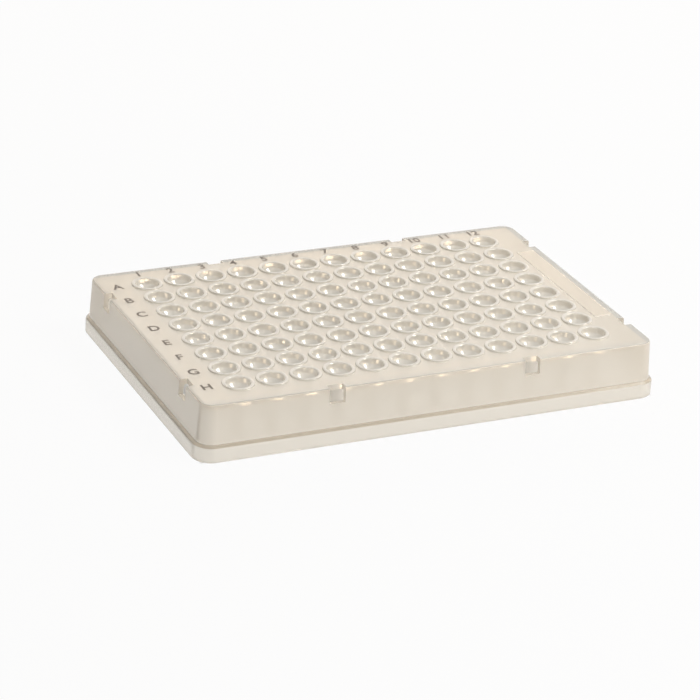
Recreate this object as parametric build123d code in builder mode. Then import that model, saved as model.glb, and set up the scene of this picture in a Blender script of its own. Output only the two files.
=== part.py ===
"""Skirted 96-well plate, moulded in one piece of natural polypropylene.

Millimetres. The origin is the centre of the footprint, on the surface that the plate
stands on. +X runs along a row of wells from column 1 to column 12, +Y from row H to
row A, and +Z up.

A thin deck carries the wells, which hang from it and stand a little proud of it as
raised rims. A drafted skirt drops from the deck's edge to a wider foot. The foot is
hollow, so that it slips over the deck of another plate in a stack.
"""

import math
import os

from build123d import *

# Foot: the outer size and the pitch of the wells are the standard ones for such plates.
foot_length = 127.76
foot_width = 85.48
foot_corner_radius = 5.0
foot_height = 3.9
foot_wall = 1.2
foot_edge_radius = 0.3

# Skirt: it stands in from the foot by a sloping ledge, and leans in towards the deck.
ledge_inset = 0.95
ledge_height = 0.6
skirt_draft = 3.4  # degrees from upright
skirt_wall = 1.2

# Deck
deck_top = 14.95
deck_thickness = 1.5
deck_edge_radius = 0.5

# Wells: conical, with thin walls
columns = 12
rows = 8
well_pitch = 9.0
rim_diameter = 8.2
rim_height = 0.45
mouth_diameter = 6.1
floor_diameter = 2.5
well_wall = 0.45
tip_clearance = 0.5  # from the tip of a well down to the surface

# Gripper notches: two in each side, between the wells, through the deck's edge and the skirt
notch_width = 4.1
notch_depth = 2.05
notch_drop = 4.05
notch_pitches = 3  # from the middle of the side, in pitches of the wells

# What follows from those
skirt_base = foot_height + ledge_height
skirt_height = deck_top - skirt_base
skirt_length = foot_length - 2 * ledge_inset
skirt_width = foot_width - 2 * ledge_inset
skirt_corner_radius = foot_corner_radius - ledge_inset
ledge_slope = math.degrees(math.atan2(ledge_inset, ledge_height))
lean = skirt_height * math.tan(math.radians(skirt_draft))
deck_length = skirt_length - 2 * lean
deck_width = skirt_width - 2 * lean

foot_pocket = skirt_base - foot_wall
deck_underside = deck_top - deck_thickness

rim_top = deck_top + rim_height
well_depth = rim_top - tip_clearance - well_wall
well_draft = math.degrees(math.atan2((mouth_diameter - floor_diameter) / 2, well_depth))
cup_drop = deck_underside - tip_clearance
cup_diameter = (
    mouth_diameter
    + 2 * well_wall
    - 2 * (rim_top - deck_underside) * math.tan(math.radians(well_draft))
)

notch_offset = notch_pitches * well_pitch
across = 2 * notch_offset

os.makedirs("parts", exist_ok=True)

with BuildPart() as well_plate:
    # Outside: the upright foot, its ledge, and the skirt up to the deck
    with BuildSketch():
        RectangleRounded(foot_length, foot_width, foot_corner_radius)
    extrude(amount=foot_height)
    with BuildSketch(Plane.XY.offset(foot_height)):
        RectangleRounded(foot_length, foot_width, foot_corner_radius)
    extrude(amount=ledge_height, taper=ledge_slope)
    with BuildSketch(Plane.XY.offset(skirt_base)):
        RectangleRounded(skirt_length, skirt_width, skirt_corner_radius)
    extrude(amount=skirt_height, taper=skirt_draft)
    fillet(well_plate.edges().group_by(Axis.Z)[-1], radius=deck_edge_radius)
    fillet(well_plate.edges().group_by(Axis.Z)[0], radius=foot_edge_radius)

    # Inside: the pocket in the foot, and the hollow under the deck
    with BuildSketch():
        RectangleRounded(
            foot_length - 2 * foot_wall,
            foot_width - 2 * foot_wall,
            foot_corner_radius - foot_wall,
        )
    extrude(amount=foot_pocket, mode=Mode.SUBTRACT)
    with BuildSketch(Plane.XY.offset(foot_pocket)):
        RectangleRounded(
            skirt_length - 2 * skirt_wall,
            skirt_width - 2 * skirt_wall,
            skirt_corner_radius - skirt_wall,
        )
    extrude(amount=deck_underside - foot_pocket, taper=skirt_draft, mode=Mode.SUBTRACT)

    # Notches, cut down from above the deck at the middle of its edge
    with BuildSketch(Plane.XY.offset(deck_top)):
        with GridLocations(across, deck_width, 2, 2):
            Rectangle(notch_width, 2 * notch_depth)
        with GridLocations(deck_length, across, 2, 2):
            Rectangle(2 * notch_depth, notch_width)
    extrude(amount=-notch_drop, mode=Mode.SUBTRACT)

    # Wells: rims on the deck, cups under it, and the conical bore through both
    with BuildSketch(Plane.XY.offset(deck_top)):
        with GridLocations(well_pitch, well_pitch, columns, rows):
            Circle(rim_diameter / 2)
    extrude(amount=rim_height)
    with BuildSketch(Plane.XY.offset(deck_underside)):
        with GridLocations(well_pitch, well_pitch, columns, rows):
            Circle(cup_diameter / 2)
    extrude(amount=-cup_drop, taper=well_draft)
    with BuildSketch(Plane.XY.offset(rim_top)):
        with GridLocations(well_pitch, well_pitch, columns, rows):
            Circle(mouth_diameter / 2)
    extrude(amount=-well_depth, taper=well_draft, mode=Mode.SUBTRACT)

well_plate.part.label = "well_plate"
export_step(well_plate.part, "parts/well_plate.step")
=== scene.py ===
"""Looks of a skirted 96-well plate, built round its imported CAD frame.

The plate is one translucent moulding: a deck with 96 conical wells, a leaning skirt with
eight gripper notches and a wider, hollow foot. The row letters and column numbers are
printed on the deck.
"""

import math

import bmesh
import bpy
from bpy.props import FloatProperty, FloatVectorProperty, IntProperty, PointerProperty
from mathutils import Matrix, Vector


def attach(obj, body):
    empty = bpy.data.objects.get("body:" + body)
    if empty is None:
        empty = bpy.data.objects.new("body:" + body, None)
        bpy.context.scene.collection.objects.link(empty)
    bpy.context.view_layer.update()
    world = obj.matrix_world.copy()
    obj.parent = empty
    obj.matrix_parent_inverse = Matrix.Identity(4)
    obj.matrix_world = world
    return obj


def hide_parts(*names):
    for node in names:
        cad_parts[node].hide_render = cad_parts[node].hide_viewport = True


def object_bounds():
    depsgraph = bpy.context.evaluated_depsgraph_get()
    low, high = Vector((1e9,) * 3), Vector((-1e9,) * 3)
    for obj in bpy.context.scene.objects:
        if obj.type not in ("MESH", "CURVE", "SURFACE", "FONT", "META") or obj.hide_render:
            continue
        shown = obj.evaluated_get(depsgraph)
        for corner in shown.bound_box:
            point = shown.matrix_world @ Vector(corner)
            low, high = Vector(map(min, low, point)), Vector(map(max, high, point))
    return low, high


bl_info = {
    "name": "Well plate",
    "version": (1, 0, 0),
    "blender": (4, 5, 0),
    "location": "3D View > Sidebar > Well plate",
    "description": "Builds a skirted 96-well plate, its printed legend and its stage",
    "category": "Add Mesh",
}

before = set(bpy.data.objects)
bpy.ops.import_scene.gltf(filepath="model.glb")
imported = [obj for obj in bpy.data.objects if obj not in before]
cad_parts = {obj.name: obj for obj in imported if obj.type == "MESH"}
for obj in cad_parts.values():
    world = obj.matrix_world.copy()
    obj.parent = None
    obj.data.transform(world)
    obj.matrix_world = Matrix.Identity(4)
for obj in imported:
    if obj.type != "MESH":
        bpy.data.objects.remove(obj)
cad_low, cad_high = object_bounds()

MM = 0.001
COLUMNS = 12
ROWS = 8
HAIR = 1e-6  # two heights this close are the same
BESIDE = 0.1 * MM  # far enough from an edge not to catch it
# Faces that meet at more than this have a ridge to round, a notch's edge, or a break in shading
RIDGE, NOTCH_EDGE, CREASE = (math.radians(degrees) for degrees in (15, 35, 27))
FLATNESS = 90  # over 50, large faces outweigh small ones in the shading
# The moulding's skins, in the order of its material slots
POLISHED, FROSTED, SATIN, LEDGE, RIM, SEAT, BORE = range(7)
PLASTIC_IOR = 1.49
BEHIND_A_WALL = 1.5  # a view that has passed more surfaces than this has gone through a wall
WHITE = (1, 1, 1, 1)
# Where the deck's painted shade over the skirt's walls begins and where it is full, in millimetres
RIGHT_SHADE, BACK_SHADE, FRONT_SHADE = (59.9, 60.7), (38.9, 39.7), (-37.5, -41)
SHADE_HEIGHT = (14, 14.4)
FRONT_SHADE_SHARE = 0.5
# Each softbox's place, size and tint, and whether reflections show it
DAYLIGHT, LAMPLIGHT = (1, 0.97, 0.93), (1, 0.76, 0.52)
SOFTBOXES = {
    "key": ((0.6, -0.32, 0.73), 0.32, DAYLIGHT, True),
    "back": ((0.3, 0.9, 0.35), 0.5, LAMPLIGHT, False),
    "fill": ((0.25, -0.9, 0.35), 0.5, DAYLIGHT, False),
}
# The black card's size, before it is stood on edge, and its place
CARD_SIZE, CARD_PLACE = (0.3, 0.6, 1), (-0.3, 0.05, 0.19)


def length(name, description, millimetres):
    return FloatProperty(
        name=name, description=description, default=millimetres * MM, unit="LENGTH"
    )


def share(name, description, default):
    return FloatProperty(
        name=name, description=description, default=default, min=0, max=1, subtype="FACTOR"
    )


def colour(name, description, red, green, blue):
    return FloatVectorProperty(
        name=name,
        description=description,
        default=(red, green, blue),
        size=3,
        subtype="COLOR",
        min=0,
        max=1,
    )


class PlateSizes(bpy.types.PropertyGroup):
    """Sizes of the foot, the skirt, the deck and the notches."""

    foot_length: FloatProperty(
        name="Foot length",
        description="Along the rows",
        default=cad_high.x - cad_low.x,
        unit="LENGTH",
    )
    foot_width: FloatProperty(
        name="Foot width",
        description="Along the columns",
        default=cad_high.y - cad_low.y,
        unit="LENGTH",
    )
    foot_corner: length("Foot corner", "Radius of the foot's corners", 5.0)
    foot_height: length("Foot height", "Height of the upright foot", 3.9)
    foot_wall: length("Foot wall", "Thickness of the foot's wall", 1.2)
    ledge_inset: length("Ledge inset", "How far the skirt stands in from the foot", 0.95)
    ledge_height: length("Ledge height", "Height of the sloping ledge", 0.6)
    lean: length("Lean", "How far the skirt leans in, from the ledge to the deck", 0.62)
    deck_top: FloatProperty(
        name="Deck top",
        description="Height of the deck's face",
        default=cad_high.z - 0.45 * MM,
        unit="LENGTH",
    )
    deck_thickness: length("Deck thickness", "Thickness of the deck", 1.5)
    notch_width: length("Notch width", "Width of a gripper notch", 4.1)
    notch_depth: length("Notch depth", "How far a notch goes in from the deck's edge", 2.05)
    notch_drop: length("Notch drop", "How far a notch goes down from the deck", 4.05)
    notch_offset: length("Notch offset", "From the middle of a side to each notch", 27.0)
    panel_length: length("Panel length", "Length of the bare label panel", 44.6)
    panel_width: length("Panel width", "Width of the bare label panel", 5.2)
    panel_middle: length("Panel middle", "From the plate's middle to the panel's", 57.6)
    panel_rise: length("Panel rise", "How far the panel stands proud", 0.08)
    deck_edge: length("Deck edge", "Rounding of the deck's edge", 0.5)
    foot_shoulder: length("Foot shoulder", "Rounding between the foot and its ledge", 0.35)
    foot_edge: length("Foot edge", "Rounding of the other edges of the foot", 0.3)
    ceiling_edge: length("Ceiling edge", "Rounding where the hollow meets the deck", 0.5)
    notch_edge: length("Notch edge", "Rounding of the notches' edges", 0.12)


class WellSizes(bpy.types.PropertyGroup):
    """Sizes of one well."""

    pitch: length("Pitch", "From one well to the next", 9.0)
    rim_diameter: length("Rim diameter", "Outer diameter of the raised rim", 8.2)
    rim_height: length("Rim height", "How far the rim stands above the deck", 0.45)
    rim_radius: length("Rim radius", "Rounding of the rim's outer edge", 0.18)
    mouth_diameter: length("Mouth diameter", "Diameter of the well at its rim", 6.1)
    lip_radius: length("Lip radius", "Rounding of the mouth's edge", 0.45)
    seat_depth: length("Seat depth", "Depth of the wider seat for a cap", 1.5)
    shoulder_step: length("Shoulder step", "How far the well narrows and drops below it", 0.9)
    floor_diameter: length("Floor diameter", "Diameter of the well at its floor", 2.5)
    wall: length("Wall", "Thickness of the well's wall", 0.45)
    tip_clearance: length("Tip clearance", "From the well's tip to the surface", 0.5)
    seat_draft: length("Seat draft", "How much the seat narrows on its way down", 0.08)
    flare: length("Flare", "How much wider the cup starts under the deck", 0.1)
    rim_foot: length("Rim foot", "Rounding where the rim meets the deck", 0.1)
    shoulder_edge: length("Shoulder edge", "Rounding of the shoulder's two edges", 0.2)
    floor_edge: length("Floor edge", "Rounding of the well's floor", 0.9)
    tip_edge: length("Tip edge", "Rounding of the well's tip", 1.1)
    root_edge: length("Root edge", "Rounding where the cup meets the deck", 0.4)
    skirting: length("Skirting", "Flat ring of deck that is made with the well", 0.25)
    sides: IntProperty(name="Sides", description="Steps round a well", default=32, min=12, max=48)


class PrintSizes(bpy.types.PropertyGroup):
    """Sizes and places of the printed legend."""

    letter_height: length("Letter height", "Height of a row letter", 3.0)
    number_height: length("Number height", "Height of a column number", 2.8)
    letter_column: length("Letter column", "From the plate's middle to the letters", 57.6)
    number_row: length("Number row", "From the plate's middle to the numbers", 38.3)
    letter_rise: length("Letter rise", "How far a letter stands above its row's middle", 0.5)
    ink_lift: length("Ink lift", "Height of the ink above the deck", 0.02)


class FinishSettings(bpy.types.PropertyGroup):
    """Colours of the plastic, with its painted light and shade, the ink and the floor, and how
    clear and how frosted things are.
    """

    plastic: colour("Plastic", "Natural polypropylene", 0.93, 0.87, 0.77)
    # painted glow: the rims and the cups under the deck are painted whiter than the plastic, for
    # light that passes their thin walls
    rim: colour("Rim", "The rims, painted a little whiter as glow", 0.97, 0.935, 0.87)
    # painted light: the wells' seats and shoulders are painted lighter than the plastic, to lighten
    # the wells' insides
    seat: colour("Seat", "The upper part of a well, painted lighter for light inside it", 0.96, 0.92, 0.83)
    # painted glow: the foot is painted whiter than the plastic, for light that it lets through
    foot: colour("Foot", "The foot, painted a little whiter as glow", 0.96, 0.93, 0.87)
    # painted shade: the ledge is darkened for the shade in the corner between the skirt and the
    # foot
    ledge: colour("Ledge", "Painted shade on the corner over the foot", 0.64, 0.56, 0.44)
    # painted shade: the deck is greyed over the skirt's walls, for the shade that the walls under
    # it give
    edge: colour("Edge", "Painted shade on the deck over the skirt's back and right walls", 0.76, 0.77, 0.74)
    ink: colour("Ink", "Printed letters and numbers", 0.22, 0.185, 0.155)
    floor: colour("Floor", "Plain pale floor", 0.9, 0.9, 0.9)
    shine_through: share("Shine-through", "Share of a lamp's light that passes a wall", 0.8)
    see_past: share("See past", "Share of the view that passes the wells behind a wall", 0.85)
    clearness: share("Clearness", "How clear the deck and the wells are", 0.5)
    polish: share("Polish", "Roughness of the deck and the wells", 0.08)
    rim_clearness: share("Rim clearness", "How clear the rims are", 0.4)
    gloss: share("Gloss", "Coat on the wells' shoulders", 0.45)
    gloss_roughness: share("Gloss roughness", "Roughness of that coat", 0.12)
    gloss_ior: FloatProperty(
        name="Gloss IOR", description="Refractive index of that coat", default=2.0
    )
    floor_white: share("Floor white", "How white the floor is beside the plate", 0.92)
    floor_mirrored: share("Floor mirrored", "The same in reflections and through plastic", 0.85)
    skirt_clearness: share("Skirt clearness", "How clear the skirt is", 0.6)
    frost: share("Frost", "Roughness of the skirt", 0.28)
    foot_clearness: share("Foot clearness", "How clear the foot is", 0.85)
    satin: share("Satin", "Roughness of the foot and its ledge", 0.15)


class StageSettings(bpy.types.PropertyGroup):
    """The camera and the studio's lights."""

    azimuth: FloatProperty(
        name="Azimuth", description="Camera, in degrees round the plate", default=-25.772
    )
    elevation: FloatProperty(
        name="Elevation", description="Camera, in degrees above the floor", default=24.799
    )
    roll: FloatProperty(
        name="Roll", description="Camera's tilt about its line of sight, in degrees", default=3.567
    )
    distance: length("Distance", "From the camera to the point it looks at", 756.19)
    aim: FloatVectorProperty(
        name="Aim",
        description="The point that the camera looks at",
        default=(-3.236 * MM, 2.75 * MM, 2.314 * MM),
        size=3,
        subtype="TRANSLATION",
        unit="LENGTH",
    )
    lens: FloatProperty(name="Lens", description="Focal length in millimetres", default=148.2)
    key_power: FloatProperty(
        name="Key power", description="Softbox at the front right", default=4.0, unit="POWER"
    )
    back_power: FloatProperty(
        name="Back power", description="Warm softbox behind", default=2.8, unit="POWER"
    )
    fill_power: FloatProperty(
        name="Fill power", description="Softbox at the front", default=0.6, unit="POWER"
    )
    sky: FloatProperty(
        name="Sky", description="Strength of the even light all round", default=0.45
    )


# Shapes


def rounded_face(bm, long_side, short_side, corner, height, steps):
    """A flat rectangle with arcs for corners, facing up."""
    made = bmesh.ops.create_grid(bm, x_segments=1, y_segments=1, size=0.5)["verts"]
    bmesh.ops.scale(bm, vec=(long_side, short_side, 1), verts=made)
    bmesh.ops.translate(bm, vec=(0, 0, height), verts=made)
    before = set(bm.faces) - set(made[0].link_faces)
    bmesh.ops.bevel(
        bm,
        geom=made,
        affect="VERTICES",
        offset=corner,
        offset_type="OFFSET",
        segments=steps,
        profile=0.5,
        material=-1,
    )
    (face,) = set(bm.faces) - before
    return face


def push(bm, face, inward, upward):
    """Moves a face in by one distance and up by another, and leaves walls behind it."""
    up = upward if face.normal.z > 0 else -upward
    bmesh.ops.inset_region(
        bm, faces=[face], thickness=inward, depth=up, use_boundary=True, use_even_offset=True
    )


def ridges(bm, height, low=0.0, high=1.0):
    """Level ridges at a height, between two distances from the upright axis."""

    def in_place(co):
        return abs(co.z - height) < HAIR and low < math.hypot(co.x, co.y) < high

    def fits(edge):
        return (
            all(in_place(v.co) for v in edge.verts)
            and len(edge.link_faces) == 2
            and edge.calc_face_angle() > RIDGE
        )

    return [edge for edge in bm.edges if fits(edge)]


def round_off(bm, edges, radius, steps):
    bmesh.ops.bevel(
        bm,
        geom=edges,
        affect="EDGES",
        offset=radius,
        offset_type="OFFSET",
        segments=steps,
        profile=0.5,
        material=-1,
        clamp_overlap=True,
    )


def to_object(bm, name, materials=()):
    mesh = bpy.data.meshes.new(name)
    for material in materials:
        mesh.materials.append(material)
    bm.to_mesh(mesh)
    bm.free()
    made = bpy.data.objects.new(name, mesh)
    bpy.context.scene.collection.objects.link(made)
    return made


def cut(body, cutter):
    """The body with the cutter taken away, as a bmesh. Both objects are used up."""
    difference = body.modifiers.new("notches", "BOOLEAN")
    difference.operation = "DIFFERENCE"
    difference.solver = "EXACT"
    difference.object = cutter
    shaped = body.evaluated_get(bpy.context.evaluated_depsgraph_get())
    bm = bmesh.new()
    bm.from_mesh(shaped.to_mesh())
    shaped.to_mesh_clear()
    bpy.data.objects.remove(body)
    bpy.data.objects.remove(cutter)
    return bm


def shell(plate):
    """Foot, skirt and deck as one closed shell, with its fillets and no notches or wells."""
    bm = bmesh.new()
    underside_height = plate.deck_top - plate.deck_thickness
    pocket = plate.foot_height + plate.ledge_height - plate.foot_wall
    skirt_rise = plate.deck_top - plate.foot_height - plate.ledge_height

    outside = rounded_face(bm, plate.foot_length, plate.foot_width, plate.foot_corner, 0, 10)
    for inward, upward, skin in (
        (0, plate.foot_height, SATIN),
        (plate.ledge_inset, plate.ledge_height, LEDGE),
        (plate.lean, skirt_rise, FROSTED),
    ):
        before = set(bm.faces)
        push(bm, outside, inward, upward)
        for face in set(bm.faces) - before:
            face.material_index = skin
    outside.material_index = POLISHED

    rim = [edge for edge in bm.edges if edge.is_boundary]
    bottom = bmesh.ops.contextual_create(bm, geom=rim)["faces"][0]
    bottom.material_index = POLISHED
    bmesh.ops.recalc_face_normals(bm, faces=bm.faces)
    for inward, upward in (
        (plate.foot_wall, 0),
        (0, pocket),
        (plate.ledge_inset, 0),
        (plate.lean, underside_height - pocket),
    ):
        push(bm, bottom, inward, upward)

    for height, radius, steps in (
        (plate.deck_top, plate.deck_edge, 4),
        (plate.foot_height, plate.foot_shoulder, 3),
        (plate.foot_height + plate.ledge_height, plate.foot_edge, 3),
        (0, plate.foot_edge, 3),
        (pocket, plate.foot_edge, 2),
        (underside_height, plate.ceiling_edge, 2),
    ):
        round_off(bm, ridges(bm, height), radius, steps)
    return bm


def notch_cutters(plate):
    """Eight blocks that stand where the notches are, two at each side."""
    bm = bmesh.new()
    over = 2 * MM
    edge_inset = plate.ledge_inset + plate.lean
    deep, tall = plate.notch_depth + over, plate.notch_drop + over
    for half, turned in ((plate.foot_width / 2, False), (plate.foot_length / 2, True)):
        for side in (-1, 1):
            for offset in (-plate.notch_offset, plate.notch_offset):
                block = bmesh.ops.create_cube(bm, size=1)["verts"]
                bmesh.ops.scale(bm, vec=(plate.notch_width, deep, tall), verts=block)
                outward = half - edge_inset + over - deep / 2
                upward = plate.deck_top + (over - plate.notch_drop) / 2
                bmesh.ops.translate(bm, vec=(offset, side * outward, upward), verts=block)
                for face in {face for vert in block for face in vert.link_faces}:
                    face.normal_update()
                    face.material_index = FROSTED if abs(face.normal.x) > 0.9 else POLISHED
                if turned:
                    quarter = Matrix.Rotation(math.radians(90), 3, "Z")
                    bmesh.ops.rotate(bm, cent=(0, 0, 0), matrix=quarter, verts=block)
    return bm


def notch_edges(bm, plate):
    """The sharp edges that the notches left."""
    edge_inset = plate.ledge_inset + plate.lean
    reach = (
        plate.foot_length / 2 - edge_inset - plate.notch_depth - HAIR,
        plate.foot_width / 2 - edge_inset - plate.notch_depth - HAIR,
    )
    half = plate.notch_width / 2 + HAIR
    floor = plate.deck_top - plate.notch_drop - HAIR

    def in_notch(co):
        x, y = abs(co.x), abs(co.y)
        in_side = x > reach[0] and abs(y - plate.notch_offset) < half
        in_front = y > reach[1] and abs(x - plate.notch_offset) < half
        return co.z > floor and (in_side or in_front)

    return [
        edge
        for edge in bm.edges
        if all(in_notch(v.co) for v in edge.verts)
        and len(edge.link_faces) == 2
        and edge.calc_face_angle() > NOTCH_EDGE
    ]


def lathe(bm, outline, sides):
    """Turns an outline of radii and heights about the upright axis."""
    line = [bm.verts.new((radius, 0, height)) for radius, height in outline]
    run = [bm.edges.new(pair) for pair in zip(line, line[1:])]
    bmesh.ops.spin(
        bm,
        geom=line + run,
        cent=(0, 0, 0),
        axis=(0, 0, 1),
        angle=2 * math.pi,
        steps=sides,
        use_merge=True,
    )
    bmesh.ops.remove_doubles(bm, verts=bm.verts, dist=HAIR)


def one_well(plate, well):
    """A well at the origin: its upper skin, from the deck to the floor, and its lower one."""
    bm = bmesh.new()
    top = plate.deck_top + well.rim_height
    underside = plate.deck_top - plate.deck_thickness
    floor = well.tip_clearance + well.wall
    shoulder_top = top - well.seat_depth
    shoulder_foot = shoulder_top - well.shoulder_step
    rim, mouth, bottom = (
        across / 2 for across in (well.rim_diameter, well.mouth_diameter, well.floor_diameter)
    )
    seat = mouth - well.seat_draft
    neck = seat - well.shoulder_step
    outer = neck + well.wall + well.flare
    lathe(
        bm,
        [
            (rim + well.skirting, plate.deck_top),
            (rim, plate.deck_top),
            (rim, top),
            (mouth, top),
            (seat, shoulder_top),
            (neck, shoulder_foot),
            (bottom, floor),
            (0, floor),
        ],
        well.sides,
    )
    # The rim tops take the painted glow, the seats and shoulders the painted light of their skins
    for face in bm.faces:
        middle = face.calc_center_median()
        if middle.z > top - HAIR:
            face.material_index = RIM
        elif middle.z > shoulder_top and middle.xy.length < rim - BESIDE:
            face.material_index = SEAT
        elif shoulder_foot < middle.z < shoulder_top:
            face.material_index = BORE
    upper = set(bm.faces)
    lathe(
        bm,
        [
            (outer + 3 * well.skirting, underside),
            (outer, underside),
            (bottom + well.wall, well.tip_clearance),
            (0, well.tip_clearance),
        ],
        well.sides,
    )
    # The cups under the deck take the rims' whiter colour, which is painted glow
    for face in set(bm.faces) - upper:
        face.material_index = RIM
    round_off(bm, ridges(bm, plate.deck_top, high=rim + BESIDE), well.rim_foot, 1)
    round_off(bm, ridges(bm, top, low=rim - BESIDE), well.rim_radius, 3)
    round_off(bm, ridges(bm, top, high=mouth + BESIDE), well.lip_radius, 3)
    round_off(bm, ridges(bm, shoulder_top), well.shoulder_edge, 2)
    round_off(bm, ridges(bm, shoulder_foot), well.shoulder_edge, 2)
    round_off(bm, ridges(bm, floor, low=bottom / 2), well.floor_edge, 3)
    round_off(bm, ridges(bm, underside), well.root_edge, 2)
    round_off(bm, ridges(bm, well.tip_clearance, low=bottom / 2), well.tip_edge, 3)
    square_cell(bm, plate.deck_top, well.pitch)
    square_cell(bm, underside, well.pitch)
    return bm


def square_cell(bm, height, pitch):
    """Draws the open ring at a height out to the square of deck that the well stands in."""
    ring = [
        edge
        for edge in bm.edges
        if edge.is_boundary and all(abs(v.co.z - height) < HAIR for v in edge.verts)
    ]
    drawn = bmesh.ops.extrude_edge_only(bm, edges=ring)["geom"]
    for vert in (part for part in drawn if isinstance(part, bmesh.types.BMVert)):
        turn = math.atan2(vert.co.y, vert.co.x)
        quarter = math.radians(90) * round(turn / math.radians(90))
        along = (turn - quarter) / math.radians(45)
        on_side = Vector((pitch / 2, along * pitch / 2, 0))
        vert.co.xy = (Matrix.Rotation(quarter, 3, "Z") @ on_side).xy


def marked_out(bm, height, low, high):
    """Divides the face at a height along a rectangle's sides, and returns the part inside."""
    for place, across in (
        ((low[0], 0, 0), (1, 0, 0)),
        ((high[0], 0, 0), (1, 0, 0)),
        ((0, low[1], 0), (0, 1, 0)),
        ((0, high[1], 0), (0, 1, 0)),
    ):
        flat = [f for f in bm.faces if all(abs(v.co.z - height) < HAIR for v in f.verts)]
        parts = {part for face in flat for part in (face, *face.edges, *face.verts)}
        bmesh.ops.bisect_plane(bm, geom=list(parts), dist=HAIR, plane_co=place, plane_no=across)

    def inside(co):
        flush = abs(co.z - height) < HAIR
        return flush and all(low[i] - HAIR < co[i] < high[i] + HAIR for i in (0, 1))

    (part,) = [face for face in bm.faces if all(inside(v.co) for v in face.verts)]
    return part


def clear_block(bm, height, half_length, half_width, cuts_along, cuts_across):
    """Takes the block of wells out of the face at a height, and divides the edges it leaves."""
    block = marked_out(bm, height, (-half_length, -half_width), (half_length, half_width))
    sides = list(block.edges)
    bmesh.ops.delete(bm, geom=[block], context="FACES_ONLY")
    along = [edge for edge in sides if abs(edge.verts[0].co.y - edge.verts[1].co.y) < HAIR]
    across = [edge for edge in sides if edge not in along]
    bmesh.ops.subdivide_edges(bm, edges=along, cuts=cuts_along)
    bmesh.ops.subdivide_edges(bm, edges=across, cuts=cuts_across)


def moulding(plate, well, skins):
    """The whole plate as one closed mesh, with a material index for each of its skins."""
    underside = plate.deck_top - plate.deck_thickness
    body = to_object(shell(plate), "shell", skins)
    bm = cut(body, to_object(notch_cutters(plate), "cutters", skins))
    round_off(bm, notch_edges(bm, plate), plate.notch_edge, 2)

    for height in (plate.deck_top, underside):
        clear_block(
            bm,
            height,
            COLUMNS * well.pitch / 2,
            ROWS * well.pitch / 2,
            COLUMNS * well.sides // 4 - 1,
            ROWS * well.sides // 4 - 1,
        )

    single = one_well(plate, well)
    cup = bpy.data.meshes.new("cup")
    single.to_mesh(cup)
    single.free()
    for column in range(COLUMNS):
        for row in range(ROWS):
            place = Vector(
                (
                    (column - (COLUMNS - 1) / 2) * well.pitch,
                    ((ROWS - 1) / 2 - row) * well.pitch,
                    0,
                )
            )
            old = len(bm.verts)
            bm.from_mesh(cup)
            bm.verts.ensure_lookup_table()
            bmesh.ops.translate(bm, vec=place, verts=bm.verts[old:])
    bpy.data.meshes.remove(cup)
    half_width, half_length = plate.panel_width / 2, plate.panel_length / 2
    panel = marked_out(
        bm,
        plate.deck_top,
        (plate.panel_middle - half_width, -half_length),
        (plate.panel_middle + half_width, half_length),
    )
    push(bm, panel, plate.panel_rise, plate.panel_rise)
    panel.material_index = FROSTED
    seam = [v for v in bm.verts if v.is_boundary]
    bmesh.ops.remove_doubles(bm, verts=seam, dist=5 * HAIR)

    bmesh.ops.recalc_face_normals(bm, faces=bm.faces)
    return bm


def finished(bm, name, materials):
    """The bmesh as a shaded object that rides on the plate's only body."""
    made = to_object(bm, name, materials)
    made.data.shade_smooth()
    made.data.set_sharp_from_angle(angle=CREASE)
    weighted = made.modifiers.new("flat_faces_stay_flat", "WEIGHTED_NORMAL")
    weighted.keep_sharp = True
    weighted.weight = FLATNESS
    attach(made, "root")
    return made


# Materials


def moulded_grain():
    """Node group: the fine unevenness of a moulded surface, as a height and as a tone near 1."""
    group = bpy.data.node_groups.get("moulded_grain")
    if group:
        return group
    group = bpy.data.node_groups.new("moulded_grain", "ShaderNodeTree")
    for name, kind in (("Vector", "Vector"), ("Grain size", "Float"), ("Unevenness", "Float")):
        group.interface.new_socket(name, in_out="INPUT", socket_type=f"NodeSocket{kind}")
    for name in ("Height", "Tone"):
        group.interface.new_socket(name, in_out="OUTPUT", socket_type="NodeSocketFloat")
    nodes, links = group.nodes, group.links
    given, result = nodes.new("NodeGroupInput"), nodes.new("NodeGroupOutput")
    fineness = maths(nodes, links, "DIVIDE", 1.0, given.outputs["Grain size"])
    grain = nodes.new("ShaderNodeTexNoise")
    grain.inputs["Detail"].default_value = 2
    links.new(given.outputs["Vector"], grain.inputs["Vector"])
    links.new(fineness, grain.inputs["Scale"])
    clouds = nodes.new("ShaderNodeTexNoise")
    clouds.inputs["Scale"].default_value = 60
    clouds.inputs["Detail"].default_value = 3
    links.new(given.outputs["Vector"], clouds.inputs["Vector"])
    off_middle = maths(nodes, links, "SUBTRACT", clouds.outputs["Fac"], 0.5)
    wave = maths(nodes, links, "MULTIPLY", off_middle, given.outputs["Unevenness"])
    links.new(grain.outputs["Fac"], result.inputs["Height"])
    links.new(maths(nodes, links, "ADD", wave, 1.0), result.inputs["Tone"])
    return group


def maths(nodes, links, operation, first, second):
    """The output of a Math node. Each of its terms is a number or another node's output."""
    node = nodes.new("ShaderNodeMath")
    node.operation = operation
    for term, socket in zip((first, second), node.inputs):
        if isinstance(term, bpy.types.NodeSocket):
            links.new(term, socket)
        else:
            socket.default_value = term
    return node.outputs[0]


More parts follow.
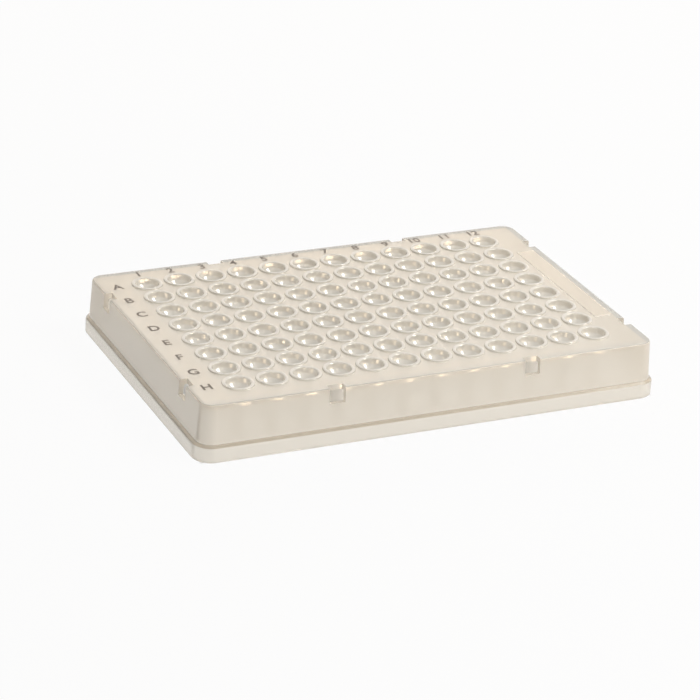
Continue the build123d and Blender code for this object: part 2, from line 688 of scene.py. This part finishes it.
def place_grain(material, size, unevenness, depth):
    """Adds the moulded grain to a material, bumps its surface with it and returns its tone."""
    nodes, links = material.node_tree.nodes, material.node_tree.links
    place = nodes.new("ShaderNodeTexCoord")
    grain = nodes.new("ShaderNodeGroup")
    grain.node_tree = moulded_grain()
    grain.inputs["Grain size"].default_value = size
    grain.inputs["Unevenness"].default_value = unevenness
    links.new(place.outputs["Object"], grain.inputs["Vector"])
    bump = nodes.new("ShaderNodeBump")
    bump.inputs["Distance"].default_value = depth
    links.new(grain.outputs["Height"], bump.inputs["Height"])
    links.new(bump.outputs["Normal"], nodes["Principled BSDF"].inputs["Normal"])
    return grain.outputs["Tone"]


def toned(material, base, tone):
    """Feeds the base colour, lightened or darkened by the tone, to the shader."""
    nodes, links = material.node_tree.nodes, material.node_tree.links
    scale = nodes.new("ShaderNodeVectorMath")
    scale.operation = "SCALE"
    scale.inputs[0].default_value = base
    links.new(tone, scale.inputs["Scale"])
    links.new(scale.outputs[0], nodes["Principled BSDF"].inputs["Base Color"])


def plastic_material(finish, name, base, clearness, roughness, grain_depth, see_past):
    """Translucent plastic, partly clear and partly milky. Lamps shine through its walls."""
    made = bpy.data.materials.new(name)
    made.use_nodes = True
    nodes, links = made.node_tree.nodes, made.node_tree.links
    shader = nodes["Principled BSDF"]
    shader.inputs["IOR"].default_value = PLASTIC_IOR
    shader.inputs["Transmission Weight"].default_value = clearness
    shader.inputs["Roughness"].default_value = roughness
    toned(made, base, place_grain(made, size=0.35 * MM, unevenness=0.03, depth=grain_depth))

    ray = nodes.new("ShaderNodeLightPath").outputs
    soft = maths(nodes, links, "MAXIMUM", ray["Is Shadow Ray"], ray["Is Diffuse Ray"])
    lit_share = maths(nodes, links, "MULTIPLY", soft, finish.shine_through)
    behind = maths(nodes, links, "GREATER_THAN", ray["Transmission Depth"], BEHIND_A_WALL)
    seen_share = maths(nodes, links, "MULTIPLY", behind, see_past)
    clear = nodes.new("ShaderNodeBsdfTransparent")
    mix = nodes.new("ShaderNodeMixShader")
    links.new(maths(nodes, links, "MAXIMUM", lit_share, seen_share), mix.inputs["Fac"])
    links.new(shader.outputs[0], mix.inputs[1])
    links.new(clear.outputs[0], mix.inputs[2])
    links.new(mix.outputs[0], nodes["Material Output"].inputs["Surface"])
    return made


def paint_edge_shade(material, finish):
    """Paints shade on the deck: greys it over the skirt's back and right walls, and less over the
    front one.
    """
    nodes, links = material.node_tree.nodes, material.node_tree.links
    place = nodes.new("ShaderNodeTexCoord")
    parts = nodes.new("ShaderNodeSeparateXYZ")
    links.new(place.outputs["Object"], parts.inputs[0])

    def beyond(axis, start, end):
        ramp = nodes.new("ShaderNodeMapRange")
        ramp.interpolation_type = "SMOOTHSTEP"
        ramp.inputs["From Min"].default_value = start * MM
        ramp.inputs["From Max"].default_value = end * MM
        links.new(parts.outputs[axis], ramp.inputs["Value"])
        return ramp.outputs[0]

    walls = maths(nodes, links, "MAXIMUM", beyond("X", *RIGHT_SHADE), beyond("Y", *BACK_SHADE))
    front = maths(nodes, links, "MULTIPLY", beyond("Y", *FRONT_SHADE), FRONT_SHADE_SHARE)
    shade_band = maths(nodes, links, "MAXIMUM", walls, front)
    edge = maths(nodes, links, "MULTIPLY", shade_band, beyond("Z", *SHADE_HEIGHT))
    base = nodes.new("ShaderNodeMix")
    base.data_type = "RGBA"
    base.inputs["A"].default_value = (*finish.plastic, 1)
    base.inputs["B"].default_value = (*finish.edge, 1)
    scale = nodes["Vector Math"]
    for socket in base.inputs:
        if socket.name == "Factor" and socket.type == "VALUE":
            links.new(edge, socket)
    (blended,) = [socket for socket in base.outputs if socket.type == "RGBA"]
    links.new(blended, scale.inputs[0])


def plastic_skins(finish):
    """The moulding's materials, in the order of its skins."""
    skins = tuple(
        plastic_material(finish, f"{name}_polypropylene", base, clear, rough, depth * MM, past)
        for name, base, clear, rough, depth, past in (
            ("polished", finish.plastic, finish.clearness, finish.polish, 0.003, finish.see_past),
            ("frosted", finish.plastic, finish.skirt_clearness, finish.frost, 0.02, 0),
            # the foot's whiter colour is painted glow
            ("satin", finish.foot, finish.foot_clearness, finish.satin, 0.008, 0),
            # the ledge's dark colour is painted shade
            ("thick", finish.ledge, finish.clearness, finish.satin, 0.008, 0),
            # painted glow on the rims and the cups under the deck
            ("glowing", finish.rim, finish.rim_clearness, finish.polish, 0.003, finish.see_past),
            # the seats' and shoulders' lighter colour is painted light
            ("bright", finish.seat, finish.clearness, finish.polish, 0.003, finish.see_past),
            ("glossy", finish.seat, finish.clearness, finish.polish, 0.003, finish.see_past),
        )
    )
    # painted shade on the deck over the skirt's walls
    paint_edge_shade(skins[POLISHED], finish)
    gloss = skins[BORE].node_tree.nodes["Principled BSDF"]
    gloss.inputs["Coat Weight"].default_value = finish.gloss
    gloss.inputs["Coat IOR"].default_value = finish.gloss_ior
    gloss.inputs["Coat Roughness"].default_value = finish.gloss_roughness
    return skins


def ink_material(finish):
    """Matt printing ink that lies in the deck's grain."""
    made = bpy.data.materials.new("printing_ink")
    made.use_nodes = True
    made.node_tree.nodes["Principled BSDF"].inputs["Roughness"].default_value = 0.5
    toned(made, finish.ink, place_grain(made, size=0.2 * MM, unevenness=0.35, depth=0.01 * MM))
    return made


def unlit_share(nodes, links, seen_share, through_share):
    """How white a backdrop is to the camera, and to reflections and clear plastic."""
    ray = nodes.new("ShaderNodeLightPath").outputs
    seen = maths(nodes, links, "MULTIPLY", ray["Is Camera Ray"], seen_share)
    thrown = maths(nodes, links, "MAXIMUM", ray["Is Glossy Ray"], ray["Is Transmission Ray"])
    through = maths(nodes, links, "MULTIPLY", thrown, through_share)
    return maths(nodes, links, "MAXIMUM", seen, through)


def outside_foot(nodes, links, foot_wall, white):
    """How white the floor is to the camera: a given share beside the plate, none under it."""
    place = nodes.new("ShaderNodeTexCoord")
    parts = nodes.new("ShaderNodeSeparateXYZ")
    links.new(place.outputs["Object"], parts.inputs[0])
    reach = []
    for axis, half in (("X", cad_high.x - foot_wall), ("Y", cad_high.y - foot_wall)):
        off_middle = maths(nodes, links, "ABSOLUTE", parts.outputs[axis], 0.0)
        reach.append(maths(nodes, links, "DIVIDE", off_middle, half))
    outside = maths(nodes, links, "GREATER_THAN", maths(nodes, links, "MAXIMUM", *reach), 1.0)
    return maths(nodes, links, "MULTIPLY", outside, white)


def floor_material(finish, foot_wall):
    """White to the camera apart from the plate's shadow, which stays faint."""
    made = bpy.data.materials.new("pale_floor")
    made.use_nodes = True
    nodes, links = made.node_tree.nodes, made.node_tree.links
    shader = nodes["Principled BSDF"]
    shader.inputs["Roughness"].default_value = 0.9
    toned(made, finish.floor, place_grain(made, size=1.5 * MM, unevenness=0.02, depth=0.01 * MM))
    glow = nodes.new("ShaderNodeEmission")
    glow.inputs["Color"].default_value = WHITE
    mix = nodes.new("ShaderNodeMixShader")
    seen = outside_foot(nodes, links, foot_wall, finish.floor_white)
    links.new(unlit_share(nodes, links, seen, finish.floor_mirrored), mix.inputs["Fac"])
    links.new(shader.outputs[0], mix.inputs[1])
    links.new(glow.outputs[0], mix.inputs[2])
    links.new(mix.outputs[0], nodes["Material Output"].inputs["Surface"])
    return made


# Operators


class WELLPLATE_OT_moulding(bpy.types.Operator):
    """Builds the plate as one closed moulding"""

    bl_idname = "wellplate.moulding"
    bl_label = "Moulding"

    def execute(self, context):
        scene = context.scene
        skins = plastic_skins(scene.finish_settings)
        bm = moulding(scene.plate_sizes, scene.well_sizes, skins)
        plate = finished(bm, "moulded_plate", skins)
        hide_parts("well_plate")
        return {"FINISHED"}


class WELLPLATE_OT_legend(bpy.types.Operator):
    """Prints the row letters and the column numbers on the deck"""

    bl_idname = "wellplate.legend"
    bl_label = "Legend"

    def execute(self, context):
        scene = context.scene
        sizes, pitch = scene.print_sizes, scene.well_sizes.pitch
        height = scene.plate_sizes.deck_top + sizes.ink_lift
        ink = ink_material(scene.finish_settings)
        letters = [
            (
                chr(ord("A") + row),
                sizes.letter_height,
                (-sizes.letter_column, ((ROWS - 1) / 2 - row) * pitch + sizes.letter_rise, height),
            )
            for row in range(ROWS)
        ]
        numbers = [
            (
                str(column + 1),
                sizes.number_height,
                ((column - (COLUMNS - 1) / 2) * pitch, sizes.number_row, height),
            )
            for column in range(COLUMNS)
        ]
        for name, signs in (("row_letters", letters), ("column_numbers", numbers)):
            bm = bmesh.new()
            for words, tall, place in signs:
                add_sign(bm, words, tall, place)
            finished(bm, name, (ink,))
        return {"FINISHED"}


def add_sign(bm, words, tall, place):
    """Adds one sign as flat mesh, centred on its place."""
    curve = bpy.data.curves.new("sign", "FONT")
    curve.body = words
    curve.align_x = "CENTER"
    curve.align_y = "CENTER"
    cap_share = 0.73  # a capital's share of the font's size
    stroke_share = 1 / 32  # how far the strokes are thickened, against their height
    curve.size = tall / cap_share
    curve.resolution_u = 4
    curve.offset = tall * stroke_share
    holder = bpy.data.objects.new("sign", curve)
    bpy.context.scene.collection.objects.link(holder)
    set_down = holder.evaluated_get(bpy.context.evaluated_depsgraph_get())
    flat = bpy.data.meshes.new_from_object(set_down)
    bpy.data.objects.remove(holder)
    bpy.data.curves.remove(curve)
    old = len(bm.verts)
    bm.from_mesh(flat)
    bpy.data.meshes.remove(flat)
    bm.verts.ensure_lookup_table()
    new = bm.verts[old:]
    low = Vector(min(v.co[i] for v in new) for i in range(3))
    high = Vector(max(v.co[i] for v in new) for i in range(3))
    bmesh.ops.translate(bm, vec=Vector(place) - (low + high) / 2, verts=new)


class WELLPLATE_OT_stage(bpy.types.Operator):
    """Sets the floor, the black card, the lights and the camera"""

    bl_idname = "wellplate.stage"
    bl_label = "Stage"

    def execute(self, context):
        scene = context.scene
        stage = scene.stage_settings
        add_camera(stage)
        add_floor(scene.finish_settings, scene.plate_sizes.foot_wall)
        add_flag()
        add_world(stage)
        for name, (place, size, tint, mirrored) in SOFTBOXES.items():
            lamp = add_softbox(f"{name}_light", place, size, getattr(stage, f"{name}_power"), tint)
            lamp.visible_glossy = mirrored
        scene.view_settings.view_transform = "Standard"
        return {"FINISHED"}


def add_camera(stage):
    turn, tip, roll = (math.radians(a) for a in (stage.azimuth, stage.elevation, stage.roll))
    back = Vector((math.sin(turn) * math.cos(tip), -math.cos(turn) * math.cos(tip), math.sin(tip)))
    level = Vector((math.cos(turn), math.sin(turn), 0))
    upright = back.cross(level)
    across = math.cos(roll) * level + math.sin(roll) * upright
    over = back.cross(across)
    lens = bpy.data.cameras.new("camera")
    lens.lens = stage.lens
    lens.clip_end = 10
    made = bpy.data.objects.new("camera", lens)
    bpy.context.scene.collection.objects.link(made)
    made.matrix_world = (
        Matrix.Translation(Vector(stage.aim) + back * stage.distance)
        @ Matrix((across, over, back)).transposed().to_4x4()
    )
    bpy.context.scene.camera = made


def add_floor(finish, foot_wall):
    bm = bmesh.new()
    bmesh.ops.create_grid(bm, x_segments=1, y_segments=1, size=3)
    made = to_object(bm, "floor", (floor_material(finish, foot_wall),))


def add_flag():
    """A black card at the left, out of the camera's sight, that keeps the sky off the left wall."""
    black = bpy.data.materials.new("black_card")
    black.use_nodes = True
    tone = place_grain(black, size=1.5 * MM, unevenness=0.02, depth=0.01 * MM)
    toned(black, (0.02, 0.02, 0.02), tone)
    bm = bmesh.new()
    bmesh.ops.create_grid(bm, x_segments=1, y_segments=1, size=0.5)
    upright = Matrix.Rotation(math.radians(90), 3, "Y")
    bmesh.ops.scale(bm, vec=CARD_SIZE, verts=bm.verts)
    bmesh.ops.rotate(bm, cent=(0, 0, 0), matrix=upright, verts=bm.verts)
    bmesh.ops.translate(bm, vec=CARD_PLACE, verts=bm.verts)
    made = to_object(bm, "flag", (black,))
    made.visible_camera = made.visible_glossy = made.visible_transmission = False


def add_world(stage):
    world = bpy.data.worlds.new("studio")
    world.use_nodes = True
    nodes, links = world.node_tree.nodes, world.node_tree.links
    soft = nodes["Background"]
    soft.inputs["Color"].default_value = WHITE
    soft.inputs["Strength"].default_value = stage.sky
    white = nodes.new("ShaderNodeBackground")
    white.inputs["Color"].default_value = WHITE
    white.inputs["Strength"].default_value = 1
    mix = nodes.new("ShaderNodeMixShader")
    links.new(unlit_share(nodes, links, 1.0, 1.0), mix.inputs["Fac"])
    links.new(soft.outputs[0], mix.inputs[1])
    links.new(white.outputs[0], mix.inputs[2])
    links.new(mix.outputs[0], nodes["World Output"].inputs["Surface"])
    bpy.context.scene.world = world


def add_softbox(name, place, size, power, tint):
    lamp = bpy.data.lights.new(name, "AREA")
    lamp.shape = "SQUARE"
    lamp.size = size
    lamp.energy = power
    lamp.color = tint
    made = bpy.data.objects.new(name, lamp)
    bpy.context.scene.collection.objects.link(made)
    made.location = place
    made.rotation_euler = (-Vector(place)).to_track_quat("-Z", "Y").to_euler()
    return made


class WELLPLATE_PT_panel(bpy.types.Panel):
    """Lists the plate's operators"""

    bl_label = "Well plate"
    bl_idname = "WELLPLATE_PT_panel"
    bl_space_type = "VIEW_3D"
    bl_region_type = "UI"
    bl_category = "Well plate"

    def draw(self, context):
        for operator in OPERATORS:
            self.layout.operator(operator.bl_idname)


OPERATORS = (WELLPLATE_OT_moulding, WELLPLATE_OT_legend, WELLPLATE_OT_stage)
GROUPS = {
    "plate_sizes": PlateSizes,
    "well_sizes": WellSizes,
    "print_sizes": PrintSizes,
    "finish_settings": FinishSettings,
    "stage_settings": StageSettings,
}


def register():
    for kind in (*GROUPS.values(), *OPERATORS, WELLPLATE_PT_panel):
        bpy.utils.register_class(kind)
    for name, group in GROUPS.items():
        setattr(bpy.types.Scene, name, PointerProperty(type=group))


def unregister():
    for name in GROUPS:
        delattr(bpy.types.Scene, name)
    for kind in reversed((*GROUPS.values(), *OPERATORS, WELLPLATE_PT_panel)):
        bpy.utils.unregister_class(kind)


def main():
    register()
    bpy.ops.wellplate.stage()
    bpy.ops.wellplate.moulding()
    bpy.ops.wellplate.legend()


if __name__ == "__main__":
    main()
